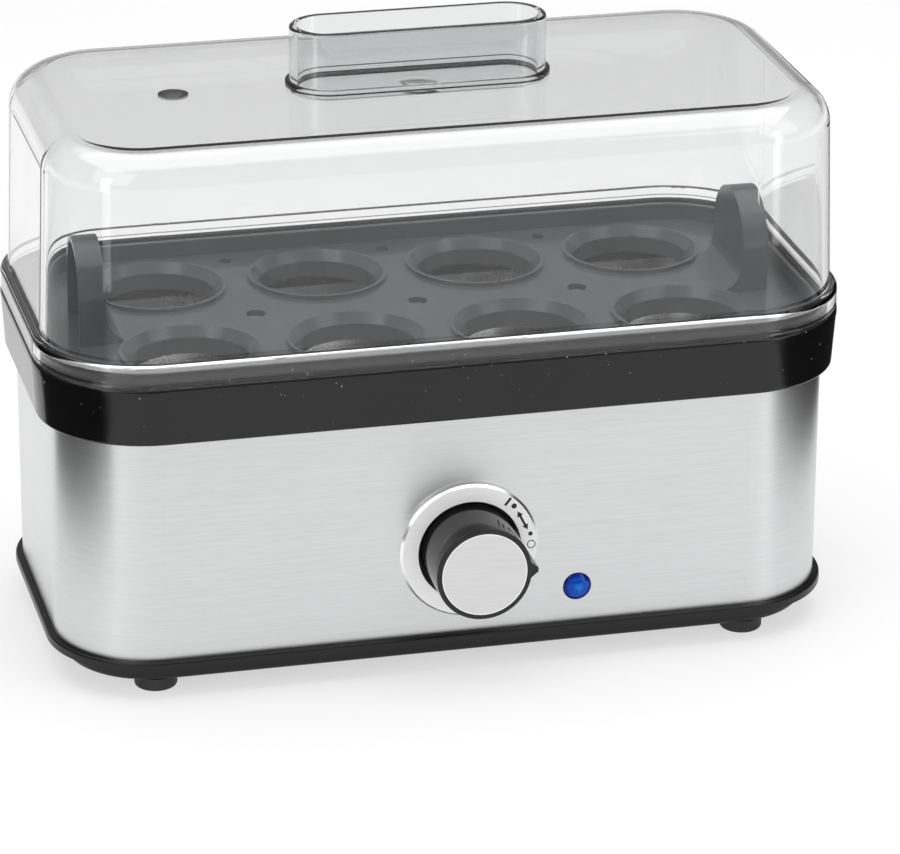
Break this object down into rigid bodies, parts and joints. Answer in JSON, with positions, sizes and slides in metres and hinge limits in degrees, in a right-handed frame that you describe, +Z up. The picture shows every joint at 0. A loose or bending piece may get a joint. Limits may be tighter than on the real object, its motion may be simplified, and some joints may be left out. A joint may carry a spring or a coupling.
{
  "type": "egg cooker",
  "caption": "Electric egg cooker with clear lift-off lid and oval grip, dark lift-out egg tray, steel-jacketed base, turn dial and indicator lamp.",
  "frame": {"origin": "on the floor, under the middle of the cooker's whole outline, knob included", "axes": "+Z up, -Y towards the dial, +X to the right seen from the dial side"},
  "size_m": [0.24, 0.136, 0.1821],
  "materials": {
    "clear_plastic": "clear",
    "black_gloss": "gloss",
    "anthracite_gloss": "gloss",
    "black_satin": "satin",
    "brushed_steel": "horizontally brushed",
    "steel_sheet": "satin",
    "zinc_steel": "zinc plated",
    "silver_ring": "satin",
    "silver_cap": "brushed",
    "aluminium_plate": "milled",
    "heater_steel": "heat tinted",
    "blue_lens": "translucent",
    "led_clear": "clear",
    "rubber_black": "matt",
    "silicone": "matt",
    "ceramic": "matt",
    "brass": "satin",
    "board_green": "lacquered",
    "dark_component": "satin",
    "relay_case": "satin",
    "block_plastic": "satin",
    "lead_brown": "satin",
    "lead_blue": "satin",
    "lead_earth": "satin",
    "lead_white": "satin"
  },
  "bodies": {
    "base": {"base_pan": "black_satin", "base_screws": "zinc_steel", "steel_jacket": "brushed_steel", "upper_frame": "black_gloss", "heating_dish": "steel_sheet", "dish_gasket": "silicone", "dish_studs": "zinc_steel", "dish_nuts": "zinc_steel", "heat_spreader": "aluminium_plate", "heating_element": "heater_steel", "element_pins": "zinc_steel", "element_insulators": "ceramic", "thermostat": "steel_sheet", "thermostat_clamp": "zinc_steel", "thermal_fuse": "steel_sheet", "fuse_clip": "zinc_steel", "heat_shield": "zinc_steel", "shield_screws": "zinc_steel", "dial_ring": "silver_ring", "control_carrier": "dark_component", "dial_control": "dark_component", "control_nut": "brass", "indicator_lens": "blue_lens", "indicator_led": "led_clear", "control_board": "board_green", "board_screws": "zinc_steel", "relay": "relay_case", "capacitor": "dark_component", "buzzer": "dark_component", "cord_gland": "rubber_black", "terminal_block": "block_plastic", "terminal_screws": "zinc_steel", "earth_tag": "brass", "lead_live": "lead_brown", "lead_neutral": "lead_blue", "lead_return": "lead_blue", "lead_earth": "lead_earth", "lead_switched": "lead_brown", "lead_fuse": "lead_white", "lead_heater": "lead_white", "foot_front_left": "rubber_black", "foot_front_right": "rubber_black", "foot_rear_left": "rubber_black", "foot_rear_right": "rubber_black"},
    "egg_tray": {"egg_tray": "anthracite_gloss", "tray_rim": "anthracite_gloss", "tray_tab_left": "anthracite_gloss", "tray_tab_right": "anthracite_gloss"},
    "lid": {"lid_shell": "clear_plastic", "lid_grip": "clear_plastic"},
    "dial": {"knob": "black_gloss", "knob_cap": "silver_cap", "control_shaft": "brass"}
  },
  "joints": [
    {"name": "tray_lift", "type": "slide", "parent": "base", "child": "egg_tray", "axis": [0, 0, 1], "range_m": [0, 0.06]},
    {"name": "lid_lift", "type": "slide", "parent": "egg_tray", "child": "lid", "axis": [0, 0, 1], "range_m": [0, 0.09]},
    {"name": "dial_turn", "type": "hinge", "parent": "base", "child": "dial", "pos_m": [0.002, -0.05245, 0.0382], "axis": [0, -1, 0], "range_deg": [0, 50]}
  ]
}
